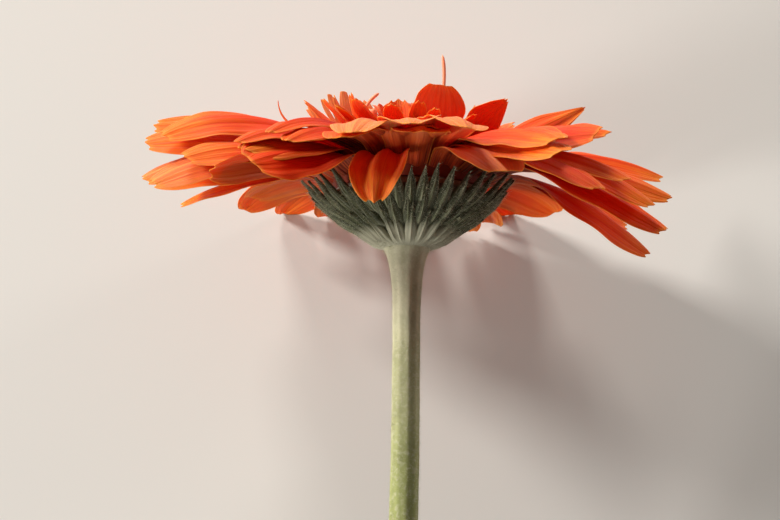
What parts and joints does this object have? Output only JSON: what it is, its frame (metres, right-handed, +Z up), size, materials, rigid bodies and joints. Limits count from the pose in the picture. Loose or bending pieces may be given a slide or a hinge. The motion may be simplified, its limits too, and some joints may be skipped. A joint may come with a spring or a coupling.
{
  "type": "gerbera daisy",
  "caption": "Cut orange gerbera daisy lying down: layered strap petals round a floret disc, a cup of green bracts behind them, and one bare stem with a slanting cut end.",
  "frame": {"origin": "centre of the bounding box's lowest face, on the surface that the flower lies on", "axes": "+Y along the flower from the cut end of the stem to the bloom, the way the bloom faces; +X to the right seen from the stem's end; +Z up"},
  "size_m": [0.1105, 0.2685, 0.0921],
  "materials": {
    "stem": "matte",
    "involucre": "matte",
    "ray_petals": "satin",
    "inner_petals": "satin",
    "disc": "satin"
  },
  "bodies": {
    "root": {"stem": "stem", "involucre": "involucre", "ray_florets": "ray_petals", "trans_florets": "inner_petals", "disc_florets": "disc"}
  },
  "joints": []
}
